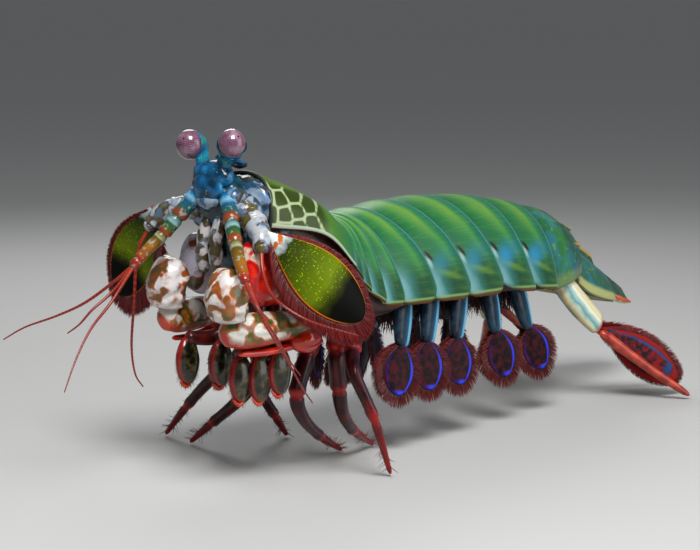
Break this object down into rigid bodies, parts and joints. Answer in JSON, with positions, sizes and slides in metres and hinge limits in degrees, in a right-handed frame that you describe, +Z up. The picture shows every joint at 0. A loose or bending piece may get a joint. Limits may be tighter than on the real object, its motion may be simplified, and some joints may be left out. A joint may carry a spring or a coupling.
{
  "type": "peacock mantis shrimp model",
  "caption": "Still life-size model of a peacock mantis shrimp, standing alert on its legs with its claws folded, for a display or a scene.",
  "frame": {"origin": "centre of the bounding box in plan, at the floor that the legs and the tail fan stand on", "axes": "+Z up; -X is the way the animal faces, with its left side towards -Y"},
  "size_m": [0.158, 0.0606, 0.0613],
  "materials": {
    "shell_green": "painted shell: green with yellow-green bands, teal edges and red-brown rims",
    "belly_flesh": "painted flesh between the plates",
    "head_blue": "glossy blue and teal",
    "eye_lilac": "glossy pink-lilac cornea with a fine-lined middle band",
    "feeler_red": "blue and olive stalk segments, orange joints, dark-red feelers",
    "scale_olive": "speckled yellow-green to black, orange rim line and red bristle fringe",
    "claw_mottled": "white, olive and orange-brown mottling",
    "claw_heel_red": "glossy red-orange",
    "hand_dark": "dark olive ovals with red rims and orange finger",
    "leg_maroon": "dark maroon with red joints and bristles",
    "paddle_dark": "maroon-black with electric-blue rims and red fringes",
    "tail_fan_red": "cream stalk, orange-red joints, red blades with blue-black middles"
  },
  "bodies": {
    "root": {"carapace": "shell_green", "thoracic_tergite_5": "shell_green", "thoracic_tergite_6": "shell_green", "thoracic_tergite_7": "shell_green", "thoracic_tergite_8": "shell_green", "abdomen_tergite_1": "shell_green", "abdomen_tergite_2": "shell_green", "abdomen_tergite_3": "shell_green", "abdomen_tergite_4": "shell_green", "abdomen_tergite_5": "shell_green", "abdomen_tergite_6": "shell_green", "telson": "shell_green", "rostral_plate": "shell_green", "thorax_underside": "belly_flesh", "abdomen_underside": "belly_flesh", "head": "head_blue", "eye_left": "eye_lilac", "eye_stalk_left": "head_blue", "antennule_left": "feeler_red", "antenna_left": "feeler_red", "antennal_scale_left": "scale_olive", "raptorial_merus_left": "claw_mottled", "raptorial_carpus_left": "claw_mottled", "raptorial_propodus_left": "claw_mottled", "raptorial_dactyl_left": "claw_heel_red", "maxilliped_3_left": "hand_dark", "maxilliped_4_left": "hand_dark", "maxilliped_5_left": "hand_dark", "walking_leg_1_left": "leg_maroon", "walking_leg_2_left": "leg_maroon", "walking_leg_3_left": "leg_maroon", "pleopod_1_left": "paddle_dark", "pleopod_2_left": "paddle_dark", "pleopod_3_left": "paddle_dark", "pleopod_4_left": "paddle_dark", "pleopod_5_left": "paddle_dark", "uropod_left": "tail_fan_red", "eye_right": "eye_lilac", "eye_stalk_right": "head_blue", "antennule_right": "feeler_red", "antenna_right": "feeler_red", "antennal_scale_right": "scale_olive", "raptorial_merus_right": "claw_mottled", "raptorial_carpus_right": "claw_mottled", "raptorial_propodus_right": "claw_mottled", "raptorial_dactyl_right": "claw_heel_red", "maxilliped_3_right": "hand_dark", "maxilliped_4_right": "hand_dark", "maxilliped_5_right": "hand_dark", "walking_leg_1_right": "leg_maroon", "walking_leg_2_right": "leg_maroon", "walking_leg_3_right": "leg_maroon", "pleopod_1_right": "paddle_dark", "pleopod_2_right": "paddle_dark", "pleopod_3_right": "paddle_dark", "pleopod_4_right": "paddle_dark", "pleopod_5_right": "paddle_dark", "uropod_right": "tail_fan_red"}
  },
  "joints": []
}
